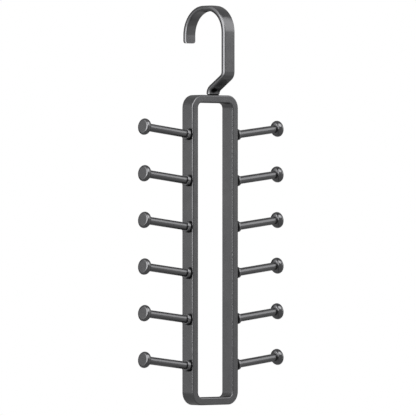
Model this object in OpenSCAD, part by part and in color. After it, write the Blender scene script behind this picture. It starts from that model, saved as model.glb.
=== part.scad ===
// Swivelling tie and belt hanger: a flat-bar hook over a tall open frame with pegs on both sides.
// Millimetres. The origin is the middle of the hook's round seat, where a closet rod lies.
// +X runs along the closet rod, +Y points to the hook's open end and +Z is up.

/* [Frame] */
// Overall width of the frame, from one bar's outer face to the other's
frame_w = 55.2; // [44:0.2:90]
// Overall height of the frame
frame_h = 278.6; // [260:0.2:420]
// Depth of the flat bar, front to back
bar_d = 14.7; // [12.4:0.1:24]
// Thickness of the flat bar, seen from the front
bar_t = 6.9; // [6.2:0.1:9]
// Radius of the frame's corners on the inside of the bend
corner_r = 4.8; // [2:0.1:8]
// Rounding of the flat bar's long edges
bar_edge = 1.1; // [0.4:0.1:2]

/* [Hook] */
// Clear width inside the hook, which the closet rod has to fit
hook_gap = 47.2; // [40:0.2:60]
// Thickness of the hook's bar, seen from the side
hook_t = 5.2; // [4.6:0.1:7]
// Width of the hook's bar, along the closet rod
hook_w = 13; // [9:0.1:16]
// Rounding of the hook bar's long edges
hook_edge = 1.5; // [0.4:0.1:2]
// How far the hook's open end reaches below the middle of its seat
tip_drop = 5.4; // [1:0.1:25]
// Rounding of the open end's two corners
tip_round = 2.2; // [1:0.1:4]
// Distance from the middle of the seat to the swivel's axis, towards the stem
swivel_set = 6.1; // [0:0.1:12]
// Height of the seat's middle above the top of the frame
seat_h = 52.9; // [50:0.1:90]
// Slope of the crank that leads the stem back under the rod, in degrees from level
crank_slope = 32; // [26:1:40]
// Radius of the crank's two bends, at the middle of the bar
crank_r = 6.2; // [4:0.1:6.4]
// Height of the neck's corner above the washer, where the crank's and the neck's middle lines meet
neck_h = 3.7; // [3.6:0.1:8]

/* [Swivel] */
// How far right of the frame's middle the swivel stands
swivel_x = 1.8; // [0:0.1:6]
// How far in front of the bar's middle the swivel and the pegs stand
hole_front = 1.8; // [0:0.1:3]
// Diameter of the swivel screw's shank
screw_d = 3; // [2:0.1:3.4]
// Diameter of the swivel screw's countersunk head
screw_head_d = 6; // [5:0.1:8]
// How deep the swivel screw goes into the hook's neck
screw_grip = 4.2; // [3:0.1:4.6]
// Width across the flats of the screw's hexagon socket
socket_af = 2; // [1.5:0.5:2.5]
// Depth of the screw's hexagon socket
socket_depth = 1.4; // [0.8:0.1:1.8]
// Diameter of the black washer under the neck
washer_d = 10.6; // [8:0.1:13]
// Thickness of the black washer
washer_t = 0.9; // [0.5:0.1:2]

/* [Pegs] */
// Number of pegs on each side
peg_count = 6; // [3:1:6]
// Height from one peg to the next
peg_pitch = 41.5; // [30:0.5:44]
// How steeply the pegs rise outwards, in degrees
peg_rise = 6.8; // [0:0.1:12]
// Diameter of a peg's rod
rod_d = 7; // [6:0.1:9]
// Length of a peg from the bar's face to the back of its head
peg_reach = 49.6; // [30:0.1:70]
// Diameter of the thin spigots at a rod's two ends
spigot_d = 4; // [3:0.1:4.6]
// How deep a rod's inner spigot goes into the bar
spigot_bar = 4.8; // [3:0.1:5]
// How deep a rod's outer spigot goes into the head
spigot_head = 3; // [2:0.1:3.6]

/* [Peg heads] */
// Diameter of a peg's head
head_d = 14.7; // [12:0.1:20]
// Thickness of a peg's head
head_t = 5.9; // [5.8:0.1:9]
// Rounding of the head's outer edge
head_edge = 2.2; // [0.5:0.1:2.3]
// Radius of the dome on the head's back, measured in a section
head_dome = 3.6; // [2:0.1:3.7]

/* [Peg roots] */
// Outer diameter of the collar and the bushing at a peg's root
collar_d = 10.3; // [9.6:0.1:12]
// Thickness of the collar
collar_t = 2.3; // [1.6:0.1:4]
// Radius of the collar's rounded shoulder
collar_round = 0.5; // [0.2:0.1:1.4]
// Thickness of the black bushing, at its middle
bushing_t = 2.2; // [1.6:0.1:4]

/* [Fits] */
// Radial clearance between a fixed spigot and its hole
fixed_gap = 0.05; // [0.02:0.01:0.1]
// Radial clearance between the swivel screw and the frame
swivel_gap = 0.1; // [0.05:0.01:0.1]
// Clearance between the swivel's flat or conical faces
thrust_gap = 0.12; // [0.1:0.01:0.3]

/* [Hidden] */
LEFT = -1;
RIGHT = 1;
steel = [0.30, 0.30, 0.30];
dark_steel = [0.24, 0.24, 0.24];
black = [0.06, 0.06, 0.06];

// The hook: radii of its round seat and heights of its crank
seat_r = hook_gap / 2;
mid_r = seat_r + hook_t / 2;
frame_top = -seat_h;
washer_z = frame_top + thrust_gap;
neck_z = washer_z + washer_t;
crank_low = neck_z + neck_h;
crank_run = mid_r - swivel_set;
crank_high = crank_low + crank_run * tan(crank_slope);
crank_turn = 90 - crank_slope;
crank_tangent = crank_r * tan(crank_turn / 2);
crank_straight = crank_run / cos(crank_slope) - 2 * crank_tangent;
stem_len = -(crank_high + crank_tangent);
neck_straight = neck_h - crank_tangent;

// The frame: its middle, and where the row of holes runs along the bar
frame_x = -swivel_x;
frame_y = hole_front - swivel_set;
frame_z = frame_top - frame_h / 2;
hole_y = -swivel_set;
first_z = frame_z - (peg_count - 1) / 2 * peg_pitch;
bend_mid = corner_r + bar_t / 2;
long_straight = frame_h - 2 * (corner_r + bar_t);
short_straight = frame_w - 2 * (corner_r + bar_t);

// The swivel screw: its head lies flush with the underside of the frame's top bar
head_cone = (screw_head_d - screw_d) / 2;
underside = frame_top - bar_t;
bore_d = screw_d + 2 * swivel_gap;

// A peg, measured along its own axis from the bar's outer face
head_back = peg_reach;
bushing_side = collar_d / 2 * tan(peg_rise) + 1;
eps = 0.5;

// The hook's straight lengths are a hair thinner than its bends and run a little into them, so that
// they make one solid at any slope of the crank
lap = 0.02;
lap_step = 0.002;

// The section of a flat bar with rounded long edges: t along X, w along Y
module bar_section(t, w, r) {
    square([t - 2 * r, w], center = true);
    square([t, w - 2 * r], center = true);
    for (x = [-1, 1], y = [-1, 1])
        translate([x * (t / 2 - r), y * (w / 2 - r)])
            circle(r = r, $fn = 48);
}

// A straight length of bar that runs up from the origin
module bar_straight(length, t, w, r) {
    linear_extrude(height = length)
        bar_section(t, w, r);
}

// A bend of bar in the XZ plane, about a centre at the origin, that starts on +X and turns towards +Z
module bar_bend(mid, angle, t, w, r) {
    rotate([90, 0, 0])
        rotate_extrude(angle = angle, $fn = 128)
            translate([mid, 0])
                bar_section(t, w, r);
}

// The frame's four bars and four corners, in the XZ plane about its own middle
module frame_ring() {
    for (side = [LEFT, RIGHT]) {
        translate([side * (frame_w - bar_t) / 2, 0, -long_straight / 2])
            bar_straight(long_straight, bar_t, bar_d, bar_edge);
        translate([-short_straight / 2, 0, side * (frame_h - bar_t) / 2])
            rotate([0, 90, 0])
                bar_straight(short_straight, bar_t, bar_d, bar_edge);
    }
    for (x = [0, 1], z = [0, 1])
        mirror([x, 0, 0])
            mirror([0, 0, z])
                translate([short_straight / 2, 0, long_straight / 2])
                    bar_bend(bend_mid, 90, bar_t, bar_d, bar_edge);
}

module frame() {
    color(steel)
        difference() {
            translate([frame_x, frame_y, frame_z])
                frame_ring();
            for (side = [LEFT, RIGHT], i = [1 : peg_count])
                at_peg(side, i)
                    translate([0, 0, -spigot_bar - fixed_gap])
                        cylinder(d = spigot_d + 2 * fixed_gap, h = spigot_bar + bushing_side, $fn = 48);
            translate([0, hole_y, underside - eps])
                cylinder(d = bore_d, h = bar_t + 2 * eps, $fn = 48);
            translate([0, hole_y, underside - eps])
                cylinder(
                    r1 = screw_head_d / 2 + thrust_gap + eps,
                    r2 = screw_head_d / 2 + thrust_gap - head_cone,
                    h = head_cone + eps,
                    $fn = 64
                );
        }
}

// A straight length of the hook's bar, which laps into the bend above it and, where asked, below it
module hook_straight(length, lap_below = 0) {
    translate([0, 0, -lap_below])
        bar_straight(length + lap_below + lap, hook_t - lap_step, hook_w - lap_step, hook_edge);
}

// A bend of the hook's bar
module hook_bend(mid, angle) {
    bar_bend(mid, angle, hook_t, hook_w, hook_edge);
}

// The hook's bar lies in the YZ plane. Its pieces are drawn in the XZ plane, the stem on +X, and then
// turned so that the stem comes to -Y.
module hook_bar() {
    hook_bend(mid_r, 180);
    translate([-mid_r, 0, -tip_drop])
        hook_straight(tip_drop);
    translate([mid_r, 0, -stem_len])
        hook_straight(stem_len, lap);
    translate([mid_r - crank_r, 0, -stem_len])
        rotate([0, crank_turn, 0])
            hook_bend(crank_r, crank_turn);
    translate([mid_r, 0, crank_high])
        rotate([0, 180 + crank_turn, 0])
            translate([0, 0, crank_tangent])
                hook_straight(crank_straight, lap);
    translate([swivel_set + crank_r, 0, neck_z + neck_straight])
        mirror([1, 0, 0])
            hook_bend(crank_r, crank_turn);
    translate([swivel_set, 0, neck_z])
        hook_straight(neck_straight);
}

module hook() {
    color(steel)
        difference() {
            rotate([0, 0, -90])
                hook_bar();
            translate([0, hole_y, neck_z - eps])
                cylinder(d = screw_d + 2 * fixed_gap, h = screw_grip + fixed_gap + eps, $fn = 48);
            tip_corners();
        }
}

// What is cut off the two corners of the hook's open end
module tip_corners() {
    for (side = [0, 1])
        mirror([side, 0, 0])
            difference() {
                translate([hook_w / 2 - tip_round, mid_r - hook_t, -tip_drop - eps])
                    cube([tip_round + eps, 2 * hook_t, tip_round + eps]);
                translate([hook_w / 2 - tip_round, mid_r - hook_t - eps, -tip_drop + tip_round])
                    rotate([-90, 0, 0])
                        cylinder(r = tip_round, h = 2 * (hook_t + eps), $fn = 64);
            }
}

module swivel_screw() {
    screw_len = bar_t + thrust_gap + washer_t + screw_grip;
    color(dark_steel)
        translate([0, hole_y, underside])
            difference() {
                union() {
                    cylinder(d = screw_d, h = screw_len, $fn = 48);
                    cylinder(d1 = screw_head_d, d2 = screw_d, h = head_cone, $fn = 64);
                }
                translate([0, 0, -eps])
                    cylinder(d = socket_af / cos(30), h = socket_depth + eps, $fn = 6);
            }
}

module swivel_washer() {
    color(black)
        translate([0, hole_y, washer_z])
            difference() {
                cylinder(d = washer_d, h = washer_t, $fn = 96);
                translate([0, 0, -eps])
                    cylinder(d = bore_d, h = washer_t + 2 * eps, $fn = 48);
            }
}

// Puts a peg's own +Z axis at its root on the bar's outer face, rising outwards
module at_peg(side, i) {
    root_z = first_z + (peg_count - i) * peg_pitch;
    translate([frame_x + side * frame_w / 2, hole_y, root_z])
        rotate([0, side * (90 - peg_rise), 0])
            children();
}

module peg_rod(side, i) {
    color(steel)
        at_peg(side, i) {
            translate([0, 0, bushing_t])
                cylinder(d = rod_d, h = head_back - bushing_t, $fn = 64);
            translate([0, 0, -spigot_bar])
                cylinder(d = spigot_d, h = spigot_bar + head_back + spigot_head, $fn = 48);
        }
}

// A quarter of a disc, which rounds a corner of a profile: above its centre, or below it
module corner_round(r, below = false) {
    intersection() {
        circle(r = r, $fn = 96);
        translate([0, below ? -r : 0])
            square(r);
    }
}

// A mushroom knob: a flat outer face with a rounded edge and a domed back
module head_profile() {
    back = head_d / 2 - head_dome;
    front = head_d / 2 - head_edge;
    rim = head_t - head_edge;
    square([back, head_t]);
    translate([0, head_dome])
        square([head_d / 2, rim - head_dome]);
    translate([0, head_dome])
        square([front, head_t - head_dome]);
    translate([back, head_dome])
        corner_round(head_dome, below = true);
    translate([front, rim])
        corner_round(head_edge);
}

module peg_head(side, i) {
    color(steel)
        at_peg(side, i)
            translate([0, 0, head_back])
                difference() {
                    rotate_extrude($fn = 128)
                        head_profile();
                    translate([0, 0, -eps])
                        cylinder(
                            d = spigot_d + 2 * fixed_gap,
                            h = spigot_head + fixed_gap + eps,
                            $fn = 48
                        );
                }
}

module collar_profile() {
    inner = rod_d / 2 + fixed_gap;
    shoulder = collar_d / 2 - collar_round;
    translate([inner, 0])
        square([collar_d / 2 - inner, collar_t - collar_round]);
    translate([inner, 0])
        square([shoulder - inner, collar_t]);
    translate([shoulder, collar_t - collar_round])
        corner_round(collar_round);
}

module peg_collar(side, i) {
    color(steel)
        at_peg(side, i)
            translate([0, 0, bushing_t])
                rotate_extrude($fn = 96)
                    collar_profile();
}

// The bushing is square to the peg on its outer side and cut to the bar's flat face on its inner side,
// which is what gives the peg its rise
module peg_bushing(side, i) {
    color(black)
        difference() {
            at_peg(side, i)
                translate([0, 0, -bushing_side])
                    difference() {
                        cylinder(d = collar_d, h = bushing_side + bushing_t, $fn = 96);
                        translate([0, 0, -eps])
                            cylinder(
                                d = spigot_d + 2 * fixed_gap,
                                h = bushing_side + bushing_t + 2 * eps,
                                $fn = 48
                            );
                    }
            translate([frame_x, hole_y, frame_z])
                cube([frame_w, 2 * collar_d, frame_h + 2 * collar_d], center = true);
        }
}

frame();
hook();
swivel_screw();
swivel_washer();
for (i = [1 : peg_count]) {
    peg_rod(LEFT, i);
    peg_head(LEFT, i);
    peg_collar(LEFT, i);
    peg_bushing(LEFT, i);
    peg_rod(RIGHT, i);
    peg_head(RIGHT, i);
    peg_collar(RIGHT, i);
    peg_bushing(RIGHT, i);
}
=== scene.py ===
"""The looks of a swivelling tie and belt hanger, laid out as an add-on and run as a script.

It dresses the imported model. The frame, the pegs and the swivel keep their solids and get their
finishes. The hook is swept again with the taper and the flattened crown that its bar has.

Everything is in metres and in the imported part's own axes: +X along the closet rod, +Y to the hook's
open end and +Z up.
"""

from math import asin, cos, pi, radians, sin, sqrt, tan

import bpy
from bpy.props import FloatProperty, FloatVectorProperty, PointerProperty
from bpy.types import Operator, Panel, PropertyGroup
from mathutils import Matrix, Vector


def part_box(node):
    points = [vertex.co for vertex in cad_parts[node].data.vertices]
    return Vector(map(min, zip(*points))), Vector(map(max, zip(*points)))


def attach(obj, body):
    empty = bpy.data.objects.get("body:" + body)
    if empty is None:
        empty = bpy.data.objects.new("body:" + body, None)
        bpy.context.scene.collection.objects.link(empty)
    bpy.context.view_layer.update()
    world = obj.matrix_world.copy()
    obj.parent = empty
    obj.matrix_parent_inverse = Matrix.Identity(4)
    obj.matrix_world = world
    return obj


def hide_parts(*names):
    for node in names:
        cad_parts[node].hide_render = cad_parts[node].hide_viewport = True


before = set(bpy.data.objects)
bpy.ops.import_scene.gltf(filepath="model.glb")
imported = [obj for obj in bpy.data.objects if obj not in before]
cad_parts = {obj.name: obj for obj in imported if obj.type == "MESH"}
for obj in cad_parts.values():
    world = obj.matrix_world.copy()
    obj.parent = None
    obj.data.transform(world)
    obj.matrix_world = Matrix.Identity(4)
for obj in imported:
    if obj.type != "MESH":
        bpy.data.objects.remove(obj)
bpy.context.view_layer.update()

bl_info = {
    "name": "Swivelling tie hanger",
    "version": (1, 0, 0),
    "blender": (4, 5, 0),
    "location": "3D View > Sidebar > Tie hanger",
    "description": "Dresses the packed tie hanger and sets it in a pale studio",
    "category": "Object",
}

MM = 0.001


# Where things are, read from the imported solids

def middle(node):
    """The middle of a node's box."""
    low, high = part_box(node)
    return (low + high) / 2


def open_end_height(reach):
    """Height of the hook's open end: the lowest point of the solid beyond half of its reach."""
    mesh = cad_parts["hook"].data
    return min(v.co.z for v in mesh.vertices if v.co.y > reach / 2)


FRAME_MIDDLE = middle("frame")
HOOK_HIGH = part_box("hook")[1]
OPEN_END_Z = open_end_height(HOOK_HIGH.y)
NECK_Y = middle("swivel_washer").y
NECK_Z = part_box("swivel_washer")[1].z
PEGS_PER_SIDE = sum(node.startswith("left_peg_rod_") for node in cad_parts)
PEG_NODES = {
    piece: [
        f"{side}_peg_{piece}_{i}"
        for side in ("left", "right")
        for i in range(1, PEGS_PER_SIDE + 1)
    ]
    for piece in ("rod", "head", "collar", "bushing")
}


# What a user can change

def linear(hex_colour):
    """An sRGB hex colour as linear red, green and blue."""
    def channel(pair):
        value = int(pair, 16) / 255
        return value / 12.92 if value <= 0.04045 else ((value + 0.055) / 1.055) ** 2.4
    return tuple(channel(hex_colour[i : i + 2]) for i in (1, 3, 5))


def colour_prop(name, description, hex_colour):
    """A colour that a user can change."""
    return FloatVectorProperty(
        name=name, description=description, subtype="COLOR", size=3,
        min=0, max=1, default=linear(hex_colour),
    )


def length_prop(name, description, millimetres):
    """A length that a user can change."""
    return FloatProperty(
        name=name, description=description, unit="LENGTH", subtype="DISTANCE",
        precision=4, min=0, default=millimetres * MM,
    )


def angle_prop(name, description, degrees):
    """An angle that a user can change."""
    return FloatProperty(
        name=name, description=description, unit="ROTATION", subtype="ANGLE",
        default=radians(degrees),
    )


class HangerHook(PropertyGroup):
    """Sizes of the hook's bar."""

    neck_width: length_prop("Neck width", "Width of the bar above the swivel", 13.3)
    stem_width: length_prop("Stem width", "Width of the bar along the stem", 13.2)
    tip_width: length_prop("Tip width", "Width of the bar at the hook's open end", 12.1)
    thickness: length_prop("Thickness", "Thickness of the bar up to the crown", 5.2)
    tip_thickness: length_prop("Tip thickness", "Thickness of the bar at the open end", 4.7)
    edge: length_prop("Edge", "Rounding where a side meets a face", 0.7)
    side_bow: length_prop("Side bow", "Radius of the bar's bowed narrow sides", 4.4)
    face_bow: length_prop("Face bow", "Radius of the bar's nearly flat broad faces", 95)
    stem_bend: length_prop("Bend above the stem", "Radius at mid bar", 22.2)
    tip_bend: length_prop("Bend above the tip", "Radius at mid bar", 23.9)
    crown_drop: length_prop("Crown drop", "How far its middle line lies below the solid's", 0.8)
    tip_round: length_prop("Tip rounding", "Rounding of the open end's two corners", 2.2)
    crank_radius: length_prop("Crank radius", "Radius of the crank's bends, at mid bar", 6.2)
    neck_height: length_prop("Neck height", "Height of the neck's corner above the washer", 3.7)
    crank_slope: angle_prop("Crank slope", "Slope of the crank from level", 32)


class HangerFinishes(PropertyGroup):
    """Colours of the hanger's finishes."""

    nickel: colour_prop("Black nickel", "The plating where it is thick", "#6f6f71")
    nickel_thin: colour_prop("Thin black nickel", "The plating where it is thinner", "#7b7b7c")
    collar: colour_prop("Polished collar", "The plating on the turned collars", "#7e7e80")
    screw: colour_prop("Screw", "The blackened steel of the swivel screw", "#4a4a4b")
    # near black: the nylon's own colour, darkened further as painted shade for the tight joints at
    # the swivel and the pegs' roots
    nylon_and_joint_shade: colour_prop("Nylon", "The moulded washer and bushings", "#08080a")


class HangerStudio(PropertyGroup):
    """The camera and the stage."""

    camera_distance: length_prop("Camera distance", "From the camera to the frame's middle", 4811)
    camera_lens: FloatProperty(
        name="Lens", description="Focal length in millimetres",
        unit="CAMERA", subtype="DISTANCE_CAMERA", default=462.6, min=50,
    )
    camera_azimuth: angle_prop("Azimuth", "Turn of the view about the upright axis", -42)
    camera_height: length_prop("Camera height", "Above the frame's middle", 21.2)
    aim_up: length_prop("Aim up", "How far above the frame's middle the camera looks", 37.8)
    aim_left: length_prop("Aim left", "How far left of the frame's middle it looks", 2.0)
    floor_drop: length_prop("Floor drop", "From the frame's bottom down to the floor", 1150)
    floor_half: length_prop("Floor reach", "From the floor's middle to its edges", 6000)
    floor: colour_prop("Floor", "The pale floor", "#efefee")
    room: FloatProperty(
        name="Room", description="Brightness of the room that the metal reflects",
        default=0.33, min=0,
    )
    room_behind: FloatProperty(
        name="Room behind", description="Its brightness in the dark band behind the hanger",
        default=0.03, min=0,
    )


# Nodes and finishes

def add_node(tree, kind, links=None, **settings):
    """Adds a node, sets its sockets and attributes by name, and links its inputs."""
    node = tree.nodes.new(kind)
    for key, value in settings.items():
        sockets = [s for s in node.inputs if s.name.lower() == key.replace("_", " ")]
        if sockets:
            sockets[0].default_value = value
        else:
            setattr(node, key, value)
    for socket, source in (links or {}).items():
        tree.links.new(source, node.inputs[socket])
    return node


def new_finish(name):
    """An empty material and its tree."""
    material = bpy.data.materials.new(name)
    material.use_nodes = True
    material.node_tree.nodes.clear()
    return material, material.node_tree


def opaque(rgb):
    """A colour with full alpha."""
    return (rgb[0], rgb[1], rgb[2], 1)


def plated_steel(name, thick, thin, smooth, rough):
    """Steel under a black nickel plating."""
    material, tree = new_finish(name)
    place = add_node(tree, "ShaderNodeTexCoord").outputs["Object"]
    # the plating's thickness drifts over some 30 mm, which shifts its grey a little
    drift = add_node(
        tree, "ShaderNodeTexNoise", {"Vector": place}, scale=33, detail=2, roughness=0.5,
    )
    grey = add_node(tree, "ShaderNodeMix", {"Factor": drift.outputs["Fac"]}, data_type="RGBA")
    grey.inputs["A"].default_value = opaque(thick)
    grey.inputs["B"].default_value = opaque(thin)
    # handling leaves the gloss uneven over some 8 mm
    sheen = add_node(
        tree, "ShaderNodeTexNoise", {"Vector": place}, scale=120, detail=3, roughness=0.55,
    )
    spread = add_node(
        tree, "ShaderNodeMapRange", {"Value": sheen.outputs["Fac"]},
        from_min=0.3, from_max=0.7, to_min=smooth, to_max=rough,
    )
    # the blasted grain is 0.05 mm and is drawn at 0.4 mm, so that it shows up close
    grain = add_node(
        tree, "ShaderNodeTexNoise", {"Vector": place}, scale=2500, detail=3, roughness=0.6,
    )
    bump = add_node(
        tree, "ShaderNodeBump", {"Height": grain.outputs["Fac"]},
        strength=0.02, distance=0.05 * MM,
    )
    shader = add_node(
        tree, "ShaderNodeBsdfPrincipled",
        {
            "Base Color": grey.outputs["Result"],
            "Roughness": spread.outputs["Result"],
            "Normal": bump.outputs["Normal"],
        },
        metallic=1.0,
    )
    add_node(tree, "ShaderNodeOutputMaterial", {"Surface": shader.outputs["BSDF"]})
    return material


def moulded_nylon(name, colour):
    """Black nylon from a spark-eroded mould."""
    material, tree = new_finish(name)
    place = add_node(tree, "ShaderNodeTexCoord").outputs["Object"]
    # the mould's texture is 0.2 mm across
    pits = add_node(tree, "ShaderNodeTexVoronoi", {"Vector": place}, scale=5000)
    bump = add_node(
        tree, "ShaderNodeBump", {"Height": pits.outputs["Distance"]},
        strength=0.15, distance=0.03 * MM,
    )
    # the skin's mattness varies over some 3 mm
    patch = add_node(tree, "ShaderNodeTexNoise", {"Vector": place}, scale=300, detail=2)
    spread = add_node(
        tree, "ShaderNodeMapRange", {"Value": patch.outputs["Fac"]}, to_min=0.75, to_max=0.88,
    )
    shader = add_node(
        tree, "ShaderNodeBsdfPrincipled",
        {"Roughness": spread.outputs["Result"], "Normal": bump.outputs["Normal"]},
        base_color=opaque(colour), metallic=0.0, ior=1.53, specular_ior_level=0.12,
    )
    add_node(tree, "ShaderNodeOutputMaterial", {"Surface": shader.outputs["BSDF"]})
    return material


def painted_floor(name, colour):
    """Matt paint put on with a roller: pale, without a sheen."""
    material, tree = new_finish(name)
    place = add_node(tree, "ShaderNodeTexCoord").outputs["Object"]
    # the roller leaves the mattness uneven over some 300 mm
    cloud = add_node(tree, "ShaderNodeTexNoise", {"Vector": place}, scale=3, detail=2)
    spread = add_node(
        tree, "ShaderNodeMapRange", {"Value": cloud.outputs["Fac"]}, to_min=0.7, to_max=0.8,
    )
    shader = add_node(
        tree, "ShaderNodeBsdfPrincipled", {"Roughness": spread.outputs["Result"]},
        base_color=opaque(colour),
    )
    add_node(tree, "ShaderNodeOutputMaterial", {"Surface": shader.outputs["BSDF"]})
    return material


def finish_named(name, build):
    """The finish of that name, built the first time it is asked for."""
    return bpy.data.materials.get(name) or build(name)


def black_nickel():
    """Black nickel over blasted steel: dark grey, satin, with soft-edged reflections."""
    colours = bpy.context.scene.hanger_finishes
    return finish_named(
        "black_nickel_plated_steel",
        lambda name: plated_steel(
            name, colours.nickel, colours.nickel_thin, smooth=0.19, rough=0.27,
        ),
    )


def polished_nickel():
    """The same plating over turned steel, which leaves it brighter and glossier."""
    colours = bpy.context.scene.hanger_finishes
    return finish_named(
        "polished_black_nickel_turned_steel",
        lambda name: plated_steel(
            name, colours.collar, colours.nickel_thin, smooth=0.15, rough=0.22,
        ),
    )


def blackened_screw():
    """Blackened screw steel: darker than the plating, with a slightly oily gloss."""
    colours = bpy.context.scene.hanger_finishes
    return finish_named(
        "blackened_screw_steel",
        lambda name: plated_steel(
            name, colours.screw, colours.nickel, smooth=0.3, rough=0.42,
        ),
    )


def black_nylon_and_joint_shade():
    """Moulded black nylon, nearly black and matt: its own dark colour, darkened further as painted
    shade, so the joints read as dark gaps.
    """
    colours = bpy.context.scene.hanger_finishes
    return finish_named("moulded_black_nylon_and_joint_shade", lambda name: moulded_nylon(name, colours.nylon_and_joint_shade))


def dress(node, material):
    """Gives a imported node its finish."""
    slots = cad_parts[node].data.materials
    slots.clear()
    slots.append(material)


# The hook's bar

# Steps along the neck, a short straight, a long one, a bend of the crank and one of the crown
NECK_STEPS = 2
SHORT_STEPS = 3
LONG_STEPS = 8
CRANK_STEPS = 14
CROWN_STEPS = 32

# Steps round the open end's corners
TIP_STEPS = 12

# Steps along a rounded part of the section, and along half of a broad face
ROUND_STEPS = 9
FACE_STEPS = 4

# The path's own rings stop short of the open end by this many times its rounding
TIP_CLEAR = 1.02

# The largest edge rounding, as a share of half the bar
LARGEST_EDGE = 0.98

# The neck's taper, from the washer up, as a share of the washer's depth below the rod's middle
NECK_TAPER = 0.4

# Where the stem counts as past the neck's taper: a depth, as a share of the hook's reach
STEM_DEPTH = 0.5

# The crown's taper, from front to back, as a multiple of the hook's reach
CROWN_TAPER = 1.6


def between(a, b, share):
    """The value at a share of the way from a to b."""
    return a + (b - a) * share


def clamp(value):
    """The value, held between 0 and 1."""
    return min(max(value, 0), 1)


def hook_path(size):
    """Points along the bar's middle in the YZ plane, from neck to open end: (y, z, heading)."""
    mid = HOOK_HIGH.y - size.thickness / 2
    # the angle that each of the crank's bends turns by, and how far from its corner it starts
    turn = pi / 2 - size.crank_slope
    radius = size.crank_radius
    tangent = radius * tan(turn / 2)
    # heights of the crank's two corners before they are rounded, at the neck and at the stem
    low = NECK_Z + size.neck_height
    high = low + (mid + NECK_Y) * tan(size.crank_slope)
    up = pi / 2
    points = []

    def line(a, b, steps, heading):
        for i in range(steps + 1):
            share = i / steps
            points.append((between(a[0], b[0], share), between(a[1], b[1], share), heading))

    def arc(centre, r, start, end, steps, side):
        for i in range(1, steps):
            angle = start + (end - start) * i / steps
            y = centre[0] + r * cos(angle)
            z = centre[1] + r * sin(angle)
            points.append((y, z, angle + side * pi / 2))

    # the neck, and the crank that leads back to the stem
    line((NECK_Y, NECK_Z), (NECK_Y, low - tangent), NECK_STEPS, up)
    arc((NECK_Y - radius, low - tangent), radius, 0, turn, CRANK_STEPS, 1)
    line(
        (NECK_Y - tangent * sin(turn), low + tangent * cos(turn)),
        (-mid + tangent * sin(turn), high - tangent * cos(turn)),
        SHORT_STEPS, up + turn,
    )
    arc((-mid + radius, high + tangent), radius, pi + turn, pi, CRANK_STEPS, -1)
    # the open arm's inner face keeps the clear width, so the bar thins from outside
    open_y = HOOK_HIGH.y - size.thickness + size.tip_thickness / 2
    top = HOOK_HIGH.z - size.crown_drop - size.thickness / 2
    stem_side = (size.stem_bend - mid, top - size.stem_bend)
    tip_side = (open_y - size.tip_bend, top - size.tip_bend)
    # the stem, the crown with its short level stretch, and the open arm
    line((-mid, high + tangent), (-mid, stem_side[1]), LONG_STEPS, up)
    arc(stem_side, size.stem_bend, pi, pi / 2, CROWN_STEPS, -1)
    line((stem_side[0], top), (tip_side[0], top), SHORT_STEPS, 0)
    arc(tip_side, size.tip_bend, pi / 2, 0, CROWN_STEPS, -1)
    line((open_y, tip_side[1]), (open_y, OPEN_END_Z), LONG_STEPS, -up)
    return points


def hook_rings(size):
    """The path's points with the length of bar left to the open end: (y, z, heading, left)."""
    path = hook_path(size)
    lengths = [0.0]
    for a, b in zip(path, path[1:]):
        lengths.append(lengths[-1] + sqrt((a[0] - b[0]) ** 2 + (a[1] - b[1]) ** 2))
    total = lengths[-1]
    clear = size.tip_round * TIP_CLEAR
    rings = [
        (y, z, heading, total - length)
        for (y, z, heading), length in zip(path, lengths)
        if total - length >= clear
    ]
    # the open end's own rings follow its rounding, ever closer together
    y, z, heading = path[-1]
    for i in range(TIP_STEPS + 1):
        left = size.tip_round * (1 - sin(i / TIP_STEPS * pi / 2))
        rings.append((y, z + left, heading, left))
    return rings


def section(width, thickness, edge, side_bow, face_bow):
    """The bar's section, anticlockwise: (across, out, normal across, normal out) for each point.

    Each narrow side is an arc of the side bow, each broad face one of the face bow, and the edge
    rounding joins them without a crease.
    """
    side_bow = max(side_bow, thickness / 2)
    edge = min(edge, thickness / 2 * LARGEST_EDGE, width / 2 * LARGEST_EDGE, side_bow)
    if side_bow > edge:
        side_end = asin(min((thickness / 2 - edge) / (side_bow - edge), 1))
    else:
        side_end = pi / 2
    side_x = width / 2 - side_bow
    edge_x = side_x + (side_bow - edge) * cos(side_end)
    edge_y = (side_bow - edge) * sin(side_end)
    face_lean = asin(min(max(edge_x, 0) / (face_bow - edge), 1))
    face_y = edge_y - (face_bow - edge) * cos(face_lean)
    # one quarter: centre, radius and angle of each point, from mid side to mid face
    quarter = [
        (side_x, 0, side_bow, side_end * i / ROUND_STEPS)
        for i in range(ROUND_STEPS + 1)
    ]
    quarter += [
        (edge_x, edge_y, edge, side_end + (pi / 2 - face_lean - side_end) * i / ROUND_STEPS)
        for i in range(1, ROUND_STEPS + 1)
    ]
    quarter += [
        (0, face_y, face_bow, pi / 2 - face_lean * (1 - i / FACE_STEPS))
        for i in range(1, FACE_STEPS + 1)
    ]
    points = [(x + r * cos(a), y + r * sin(a), cos(a), sin(a)) for x, y, r, a in quarter]
    # the face's bow would thicken the bar, so all but mid side is lowered by that much
    sink = points[-1][1] - thickness / 2
    points = [(x, y - sink * (y > 0), nx, ny) for x, y, nx, ny in points]
    ring = points + [(-x, y, -nx, ny) for x, y, nx, ny in reversed(points[:-1])]
    return ring + [(x, -y, nx, -ny) for x, y, nx, ny in reversed(ring[1:-1])]


def taper(size, y, z):
    """Width and thickness of the bar at a point of its path."""
    reach = HOOK_HIGH.y
    if y < 0 and z < -STEM_DEPTH * reach:
        share = clamp((z - NECK_Z) / (NECK_TAPER * -NECK_Z))
        return between(size.neck_width, size.stem_width, share), size.thickness
    share = clamp(0.5 + y / (CROWN_TAPER * reach)) if z > 0 or y > 0 else 0
    share = share * share * (3 - 2 * share)
    return (
        between(size.stem_width, size.tip_width, share),
        between(size.thickness, size.tip_thickness, share),
    )


def drawn_in(radius, left):
    """How far a rounded end has drawn in at a distance from the end."""
    cut = max(radius - left, 0)
    return radius - sqrt(max(radius ** 2 - cut ** 2, 0))


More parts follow.
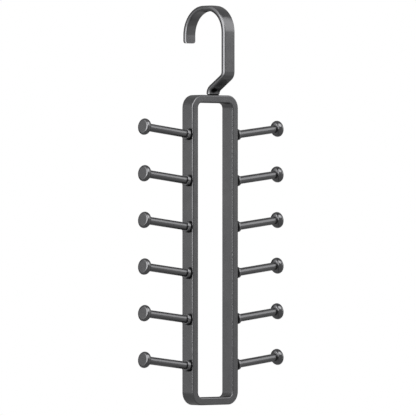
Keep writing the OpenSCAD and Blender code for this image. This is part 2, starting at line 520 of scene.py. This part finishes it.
def bar_mesh(name, bar):
    """Joins the sections of a bar into one closed mesh that keeps their normals."""
    count = len(bar[0][3])
    vertices = []
    normals = []
    for y, z, heading, ring in bar:
        out_y = -sin(heading)
        out_z = cos(heading)
        for across, away, n_across, n_away in ring:
            vertices.append((across, y + out_y * away, z + out_z * away))
            normals.append((n_across, out_y * n_away, out_z * n_away))
    faces = []
    for low in range(0, (len(bar) - 1) * count, count):
        high = low + count
        for i in range(count):
            j = (i + 1) % count
            faces.append((low + i, high + i, high + j, low + j))
    faces.append(tuple(range(count)))
    faces.append(tuple(reversed(range(len(vertices) - count, len(vertices)))))
    mesh = bpy.data.meshes.new(name)
    mesh.from_pydata(vertices, [], faces)
    mesh.validate()
    mesh.shade_smooth()
    for cap in mesh.polygons[-2:]:
        cap.use_smooth = False
    mesh.update()
    loops = []
    for polygon in mesh.polygons:
        for index in polygon.loop_indices:
            vertex = mesh.loops[index].vertex_index
            loops.append(Vector(normals[vertex]) if polygon.use_smooth else polygon.normal)
    mesh.normals_split_custom_set(loops)
    return mesh


def sweep_hook(size):
    """The hook as one swept mesh, narrowing over the crown, with a softly rounded open end."""
    bar = []
    for y, z, heading, left in hook_rings(size):
        width, thickness = taper(size, y, z)
        width -= 2 * drawn_in(size.tip_round, left)
        thickness -= 2 * drawn_in(size.edge, left)
        ring = section(width, thickness, size.edge, size.side_bow, size.face_bow)
        bar.append((y, z, heading, ring))
    return bar_mesh("hook_bar", bar)


# The pieces

class HANGER_OT_frame(Operator):
    """Finish the tall open frame"""

    bl_idname = "hanger.frame"
    bl_label = "Frame"

    def execute(self, context):
        dress("frame", black_nickel())
        return {"FINISHED"}


class HANGER_OT_hook(Operator):
    """Sweep the hook's tapered bar and finish it"""

    bl_idname = "hanger.hook"
    bl_label = "Hook"

    def execute(self, context):
        mesh = sweep_hook(context.scene.hanger_hook)
        mesh.materials.append(black_nickel())
        hook = bpy.data.objects.new("hook_bar", mesh)
        context.scene.collection.objects.link(hook)
        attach(hook, "hook")
        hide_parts("hook")
        return {"FINISHED"}


class HANGER_OT_swivel(Operator):
    """Finish the swivel's screw and washer"""

    bl_idname = "hanger.swivel"
    bl_label = "Swivel"

    def execute(self, context):
        dress("swivel_screw", blackened_screw())
        # the near-black washer is also painted shade under the hook's neck
        dress("swivel_washer", black_nylon_and_joint_shade())
        return {"FINISHED"}


class HANGER_OT_pegs(Operator):
    """Finish the pegs' rods and heads"""

    bl_idname = "hanger.pegs"
    bl_label = "Pegs"

    def execute(self, context):
        for node in PEG_NODES["rod"] + PEG_NODES["head"]:
            dress(node, black_nickel())
        return {"FINISHED"}


class HANGER_OT_peg_roots(Operator):
    """Finish the collars and bushings at the pegs' roots"""

    bl_idname = "hanger.peg_roots"
    bl_label = "Peg roots"

    def execute(self, context):
        for node in PEG_NODES["collar"]:
            dress(node, polished_nickel())
        for node in PEG_NODES["bushing"]:
            # the near-black bushings are also painted shade in the joints at the pegs' roots
            dress(node, black_nylon_and_joint_shade())
        return {"FINISHED"}


# The studio

# Each softbox: azimuth from +X, elevation, distance, width, height, radiance. The distance is in
# metres. The width and the height are in degrees, as the azimuth and the elevation are.
SOFTBOXES = {
    "left_rear_softbox": (147, 20, 4.0, 28, 60, 0.72),
    "left_strip_softbox": (176, 15, 1.5, 36, 40, 3.2),
    "key_softbox": (245, 48, 2.0, 54, 40, 2.6),
    "right_front_softbox": (316, 28, 4.0, 32, 42, 1.25),
    "right_low_softbox": (312, -8, 2.0, 44, 40, 0.15),
}

# The level direction behind the hanger in which the reflected room is darkest
BACK = (0.5, 0.87, 0)


def softbox(name, azimuth, elevation, distance, wide, tall, radiance):
    """A softbox that faces the frame's middle, as wide and tall from there as the angles say."""
    turn = radians(azimuth)
    rise = radians(elevation)
    away = Vector((cos(turn) * cos(rise), sin(turn) * cos(rise), sin(rise)))
    light = bpy.data.lights.new(name, "AREA")
    light.shape = "RECTANGLE"
    light.size = 2 * distance * tan(radians(wide / 2))
    light.size_y = 2 * distance * tan(radians(tall / 2))
    light.energy = radiance * pi * light.size * light.size_y
    lamp = bpy.data.objects.new(name, light)
    bpy.context.scene.collection.objects.link(lamp)
    lamp.location = FRAME_MIDDLE + away * distance
    lamp.rotation_mode = "QUATERNION"
    lamp.rotation_quaternion = away.to_track_quat("Z", "Y")
    lamp.visible_camera = False


def studio_world(scene, size):
    """A white surround for the eye and for soft fill, and a dim room for the metal to reflect."""
    world = bpy.data.worlds.new("studio")
    scene.world = world
    world.use_nodes = True
    tree = world.node_tree
    tree.nodes.clear()
    path = add_node(tree, "ShaderNodeLightPath")
    white = add_node(tree, "ShaderNodeBackground", color=(1, 1, 1, 1), strength=1.0)
    # the room is darker still in a level band behind the hanger
    way = add_node(tree, "ShaderNodeTexCoord").outputs["Generated"]
    facing = add_node(tree, "ShaderNodeVectorMath", {0: way}, operation="DOT_PRODUCT")
    facing.inputs[1].default_value = BACK
    behind = add_node(
        tree, "ShaderNodeMapRange", {"Value": facing.outputs["Value"]},
        interpolation_type="SMOOTHSTEP", from_min=0.35, from_max=0.8,
    )
    up = add_node(tree, "ShaderNodeSeparateXYZ", {"Vector": way}).outputs["Z"]
    height = add_node(tree, "ShaderNodeMath", {0: up}, operation="ABSOLUTE")
    level = add_node(
        tree, "ShaderNodeMapRange", {"Value": height.outputs[0]},
        interpolation_type="SMOOTHSTEP", from_min=0.25, from_max=0.5, to_min=1, to_max=0,
    )
    band = add_node(
        tree, "ShaderNodeMath", {0: behind.outputs["Result"], 1: level.outputs["Result"]},
        operation="MULTIPLY",
    )
    dim = add_node(
        tree, "ShaderNodeMapRange", {"Value": band.outputs[0]},
        to_min=size.room, to_max=size.room_behind,
    )
    room = add_node(
        tree, "ShaderNodeBackground", {"Strength": dim.outputs["Result"]}, color=(1, 1, 1, 1),
    )
    mix = add_node(
        tree, "ShaderNodeMixShader",
        {"Fac": path.outputs["Is Glossy Ray"], 1: white.outputs[0], 2: room.outputs[0]},
    )
    add_node(tree, "ShaderNodeOutputWorld", {"Surface": mix.outputs[0]})


def make_floor(scene, size):
    """A pale matt floor below, about where a closet's would be."""
    half = size.floor_half
    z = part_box("frame")[0].z - size.floor_drop
    mesh = bpy.data.meshes.new("floor")
    corners = [(-half, -half, z), (half, -half, z), (half, half, z), (-half, half, z)]
    mesh.from_pydata(corners, [], [(0, 1, 2, 3)])
    mesh.materials.append(painted_floor("matt_painted_floor", size.floor))
    floor = bpy.data.objects.new("floor", mesh)
    scene.collection.objects.link(floor)
    floor.visible_glossy = False


def make_camera(scene, size):
    """A long lens at the height of the frame, looking at it from the front left."""
    azimuth = size.camera_azimuth
    away = Vector((sin(azimuth), -cos(azimuth), 0))
    right = Vector((cos(azimuth), sin(azimuth), 0))
    up = Vector((0, 0, 1))
    camera = bpy.data.cameras.new("camera")
    camera.lens = size.camera_lens
    camera.sensor_width = 36
    camera.clip_start = 0.1
    camera.clip_end = 50
    eye = bpy.data.objects.new("camera", camera)
    scene.collection.objects.link(eye)
    eye.location = FRAME_MIDDLE + away * size.camera_distance + up * size.camera_height
    aim = FRAME_MIDDLE - right * size.aim_left + up * size.aim_up
    eye.rotation_mode = "QUATERNION"
    eye.rotation_quaternion = (aim - eye.location).to_track_quat("-Z", "Y")
    scene.camera = eye


class HANGER_OT_studio(Operator):
    """Set the room, the floor, the softboxes and the camera"""

    bl_idname = "hanger.studio"
    bl_label = "Studio"

    def execute(self, context):
        scene = context.scene
        size = scene.hanger_studio
        scene.view_settings.view_transform = "Standard"
        studio_world(scene, size)
        make_floor(scene, size)
        for name, place in SOFTBOXES.items():
            softbox(name, *place)
        make_camera(scene, size)
        return {"FINISHED"}


# The panel and what the add-on registers

OPERATORS = (
    HANGER_OT_frame,
    HANGER_OT_hook,
    HANGER_OT_swivel,
    HANGER_OT_pegs,
    HANGER_OT_peg_roots,
    HANGER_OT_studio,
)


class HANGER_PT_build(Panel):
    """Lists the hanger's pieces and the studio."""

    bl_label = "Tie hanger"
    bl_idname = "HANGER_PT_build"
    bl_space_type = "VIEW_3D"
    bl_region_type = "UI"
    bl_category = "Tie hanger"

    def draw(self, context):
        for operator in OPERATORS:
            self.layout.operator(operator.bl_idname)
        for group in ("hanger_hook", "hanger_finishes", "hanger_studio"):
            column = self.layout.column()
            settings = getattr(context.scene, group)
            for name in settings.__annotations__:
                column.prop(settings, name)


CLASSES = (HangerHook, HangerFinishes, HangerStudio) + OPERATORS + (HANGER_PT_build,)


def register():
    """Adds the classes and the settings."""
    for item in CLASSES:
        bpy.utils.register_class(item)
    bpy.types.Scene.hanger_hook = PointerProperty(type=HangerHook)
    bpy.types.Scene.hanger_finishes = PointerProperty(type=HangerFinishes)
    bpy.types.Scene.hanger_studio = PointerProperty(type=HangerStudio)


def unregister():
    """Takes the settings and the classes away again."""
    del bpy.types.Scene.hanger_studio
    del bpy.types.Scene.hanger_finishes
    del bpy.types.Scene.hanger_hook
    for item in reversed(CLASSES):
        bpy.utils.unregister_class(item)


def main():
    """Builds everything."""
    register()
    bpy.ops.hanger.frame()
    bpy.ops.hanger.hook()
    bpy.ops.hanger.swivel()
    bpy.ops.hanger.pegs()
    bpy.ops.hanger.peg_roots()
    bpy.ops.hanger.studio()


if __name__ == "__main__":
    main()
